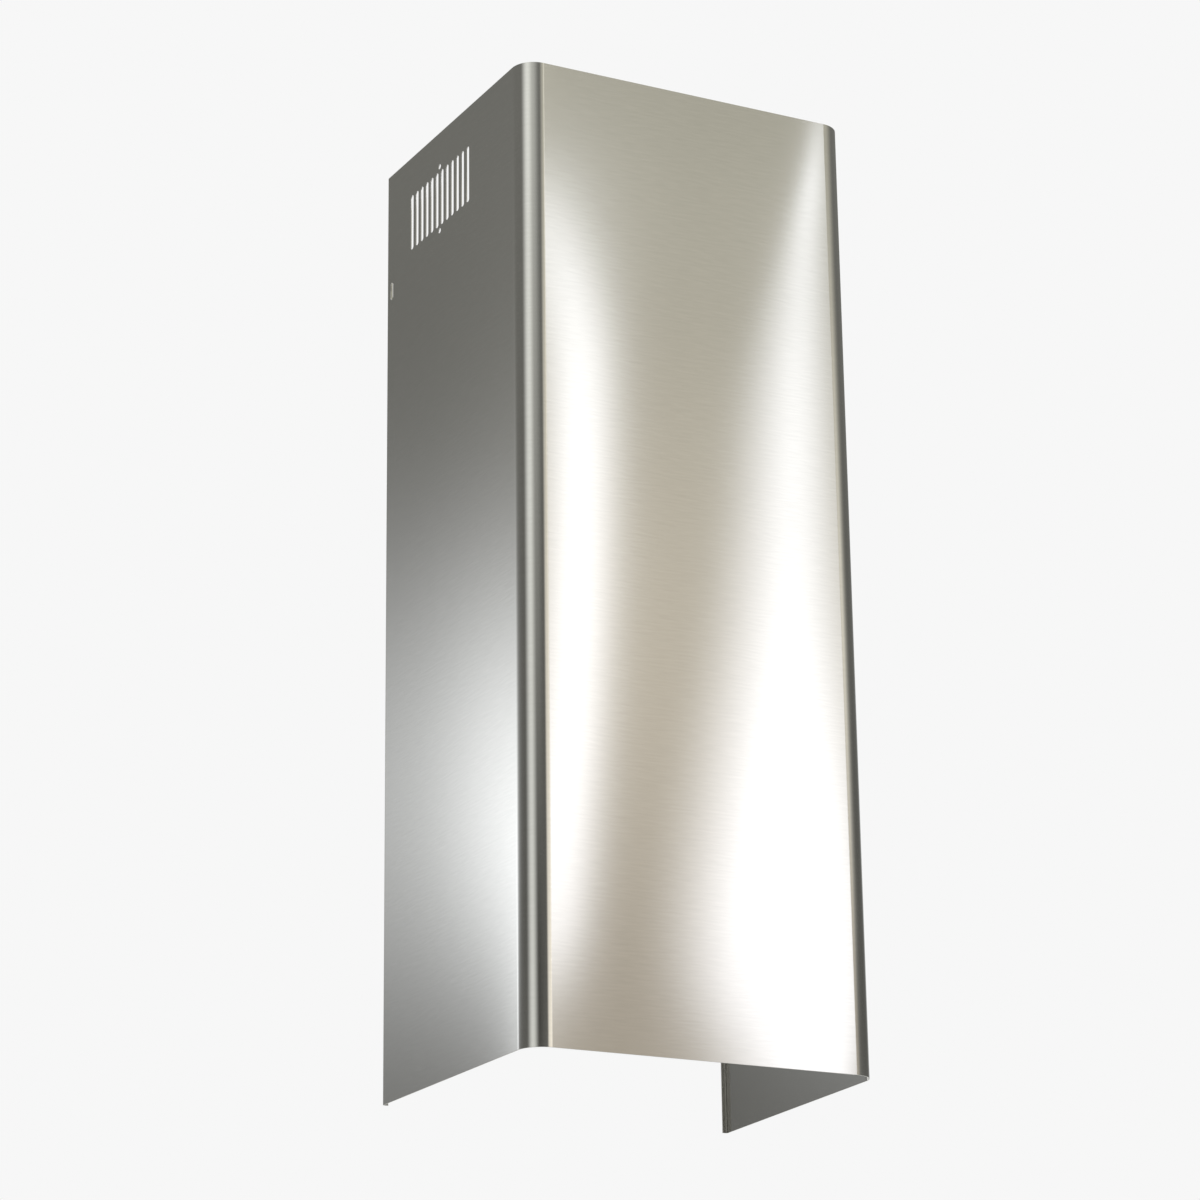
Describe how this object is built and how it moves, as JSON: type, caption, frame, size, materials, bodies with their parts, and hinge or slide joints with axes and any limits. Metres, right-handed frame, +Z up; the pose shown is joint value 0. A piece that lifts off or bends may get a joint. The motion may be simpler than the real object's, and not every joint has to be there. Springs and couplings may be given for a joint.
{
  "type": "cooker hood chimney section",
  "caption": "Brushed stainless cooker hood chimney section, one sheet folded to a U with round front corners, open to the wall, with a row of upright vent slots high on each side.",
  "frame": {"origin": "centre of the section's bounding box on the plane of its lower edge", "axes": "+X to the right of someone facing the front panel from the room, +Y towards the wall that the open side faces, +Z up"},
  "size_m": [0.3248, 0.265, 0.84],
  "materials": {
    "brushed_sheet": "fine horizontal brushing, satin"
  },
  "bodies": {
    "root": {"chimney_section": "brushed_sheet"}
  },
  "joints": []
}
